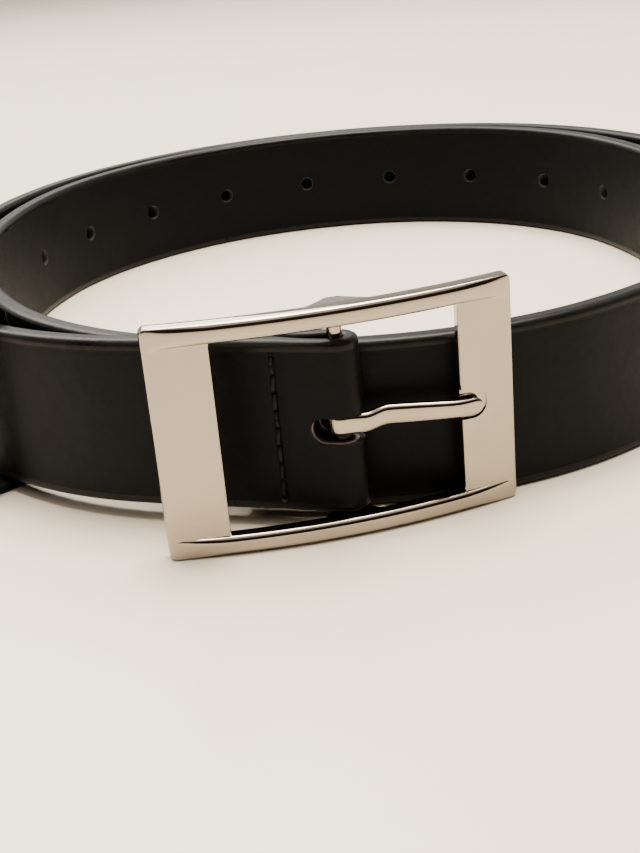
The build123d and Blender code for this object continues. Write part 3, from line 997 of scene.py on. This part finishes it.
# ------------------------------------------------------------------ stage
CAMERA_BACK = 196.863             # from the centre bar to the camera, level, in millimetres
CAMERA_ASIDE = -3.635
CAMERA_HEIGHT = 95.96
CAMERA_PITCH = 21.73
CAMERA_ROLL = -5.316
LENS = 54.37


def add_camera():
    """Camera at the photograph's angle, in front of and above the buckle."""
    data = bpy.data.cameras.new("camera")
    data.lens = LENS
    data.clip_start = 0.01
    camera = bpy.data.objects.new("camera", data)
    bpy.context.scene.collection.objects.link(camera)
    pitch, roll = math.radians(CAMERA_PITCH), math.radians(CAMERA_ROLL)
    forward = Vector((0, math.cos(pitch), -math.sin(pitch)))
    level = Vector((1, 0, 0))
    over = level.cross(forward)
    right = math.cos(roll) * level + math.sin(roll) * over
    up = right.cross(forward)
    matrix = Matrix((right, up, -forward)).transposed().to_4x4()
    matrix.translation = Vector((BAR.x + CAMERA_ASIDE, BAR.y - CAMERA_BACK, CAMERA_HEIGHT)) * MM
    camera.matrix_world = matrix
    bpy.context.scene.camera = camera


def add_floor():
    """Plain, pale, softly glossy table top."""
    bm = bmesh.new()
    bmesh.ops.create_grid(bm, x_segments=1, y_segments=1, size=8.0)
    mesh = bpy.data.meshes.new("table")
    bm.to_mesh(mesh)
    bm.free()
    table = new_object("table", mesh)
    nodes = Nodes("table")
    where = nodes.coordinates()
    cloud = nodes.noise(where, 14, 4.0)
    nodes.colour(cloud, (0.84, 0.745, 0.60), (0.87, 0.775, 0.63))
    nodes.shader.inputs["Roughness"].default_value = 0.32
    nodes.shader.inputs["Specular IOR Level"].default_value = 0.4
    dress(table, nodes.material)


def add_area(name, place, aim, size, power, colour):
    data = bpy.data.lights.new(name, "AREA")
    data.shape = "RECTANGLE"
    data.size, data.size_y = size
    data.energy = power
    data.color = colour
    light = bpy.data.objects.new(name, data)
    bpy.context.scene.collection.objects.link(light)
    light.location = place
    light.rotation_euler = (Vector(aim) - Vector(place)).to_track_quat("-Z", "Y").to_euler()


def add_world():
    """A room with a bright ceiling and a dark far side behind the camera."""
    world = bpy.data.worlds.new("room")
    bpy.context.scene.world = world
    world.use_nodes = True
    tree = world.node_tree
    background = tree.nodes["Background"]
    where = tree.nodes.new("ShaderNodeTexCoord")
    split = tree.nodes.new("ShaderNodeSeparateXYZ")
    tree.links.new(where.outputs["Generated"], split.inputs[0])
    height = tree.nodes.new("ShaderNodeValToRGB")
    stops = [
        (0.0, (0.60, 0.56, 0.50)),
        (0.49, (0.30, 0.25, 0.20)),
        (0.505, (0.035, 0.022, 0.016)),
        (0.79, (0.045, 0.030, 0.022)),
        (0.87, (1.2, 1.1, 0.95)),
        (1.0, (1.2, 1.12, 1.0)),
    ]
    while len(height.color_ramp.elements) < len(stops):
        height.color_ramp.elements.new(0.5)
    for element, (place, colour) in zip(height.color_ramp.elements, stops):
        element.position = place
        element.color = (*colour, 1.0)
    level = tree.nodes.new("ShaderNodeMapRange")
    level.inputs["From Min"].default_value = -1.0
    tree.links.new(split.outputs["Z"], level.inputs["Value"])
    tree.links.new(level.outputs["Result"], height.inputs["Fac"])
    behind = tree.nodes.new("ShaderNodeMapRange")
    behind.inputs["From Min"].default_value = -0.25
    behind.inputs["From Max"].default_value = 0.35
    tree.links.new(split.outputs["Y"], behind.inputs["Value"])
    mix = tree.nodes.new("ShaderNodeMix")
    mix.data_type = "RGBA"
    tree.links.new(behind.outputs["Result"], mix.inputs["Factor"])
    tree.links.new(height.outputs["Color"], mix.inputs[6])
    mix.inputs[7].default_value = (0.95, 0.90, 0.82, 1.0)
    tree.links.new(mix.outputs[2], background.inputs["Color"])
    background.inputs["Strength"].default_value = 0.9


add_camera()
add_floor()
add_world()
add_area("window", (-0.5, 0.9, 1.0), (0, 0, 0), (1.2, 0.9), 30, (1.0, 0.95, 0.88))
add_area("ceiling", (0.1, 0.12, 1.3), (0, 0, 0), (0.8, 0.8), 56, (1.0, 0.93, 0.82))
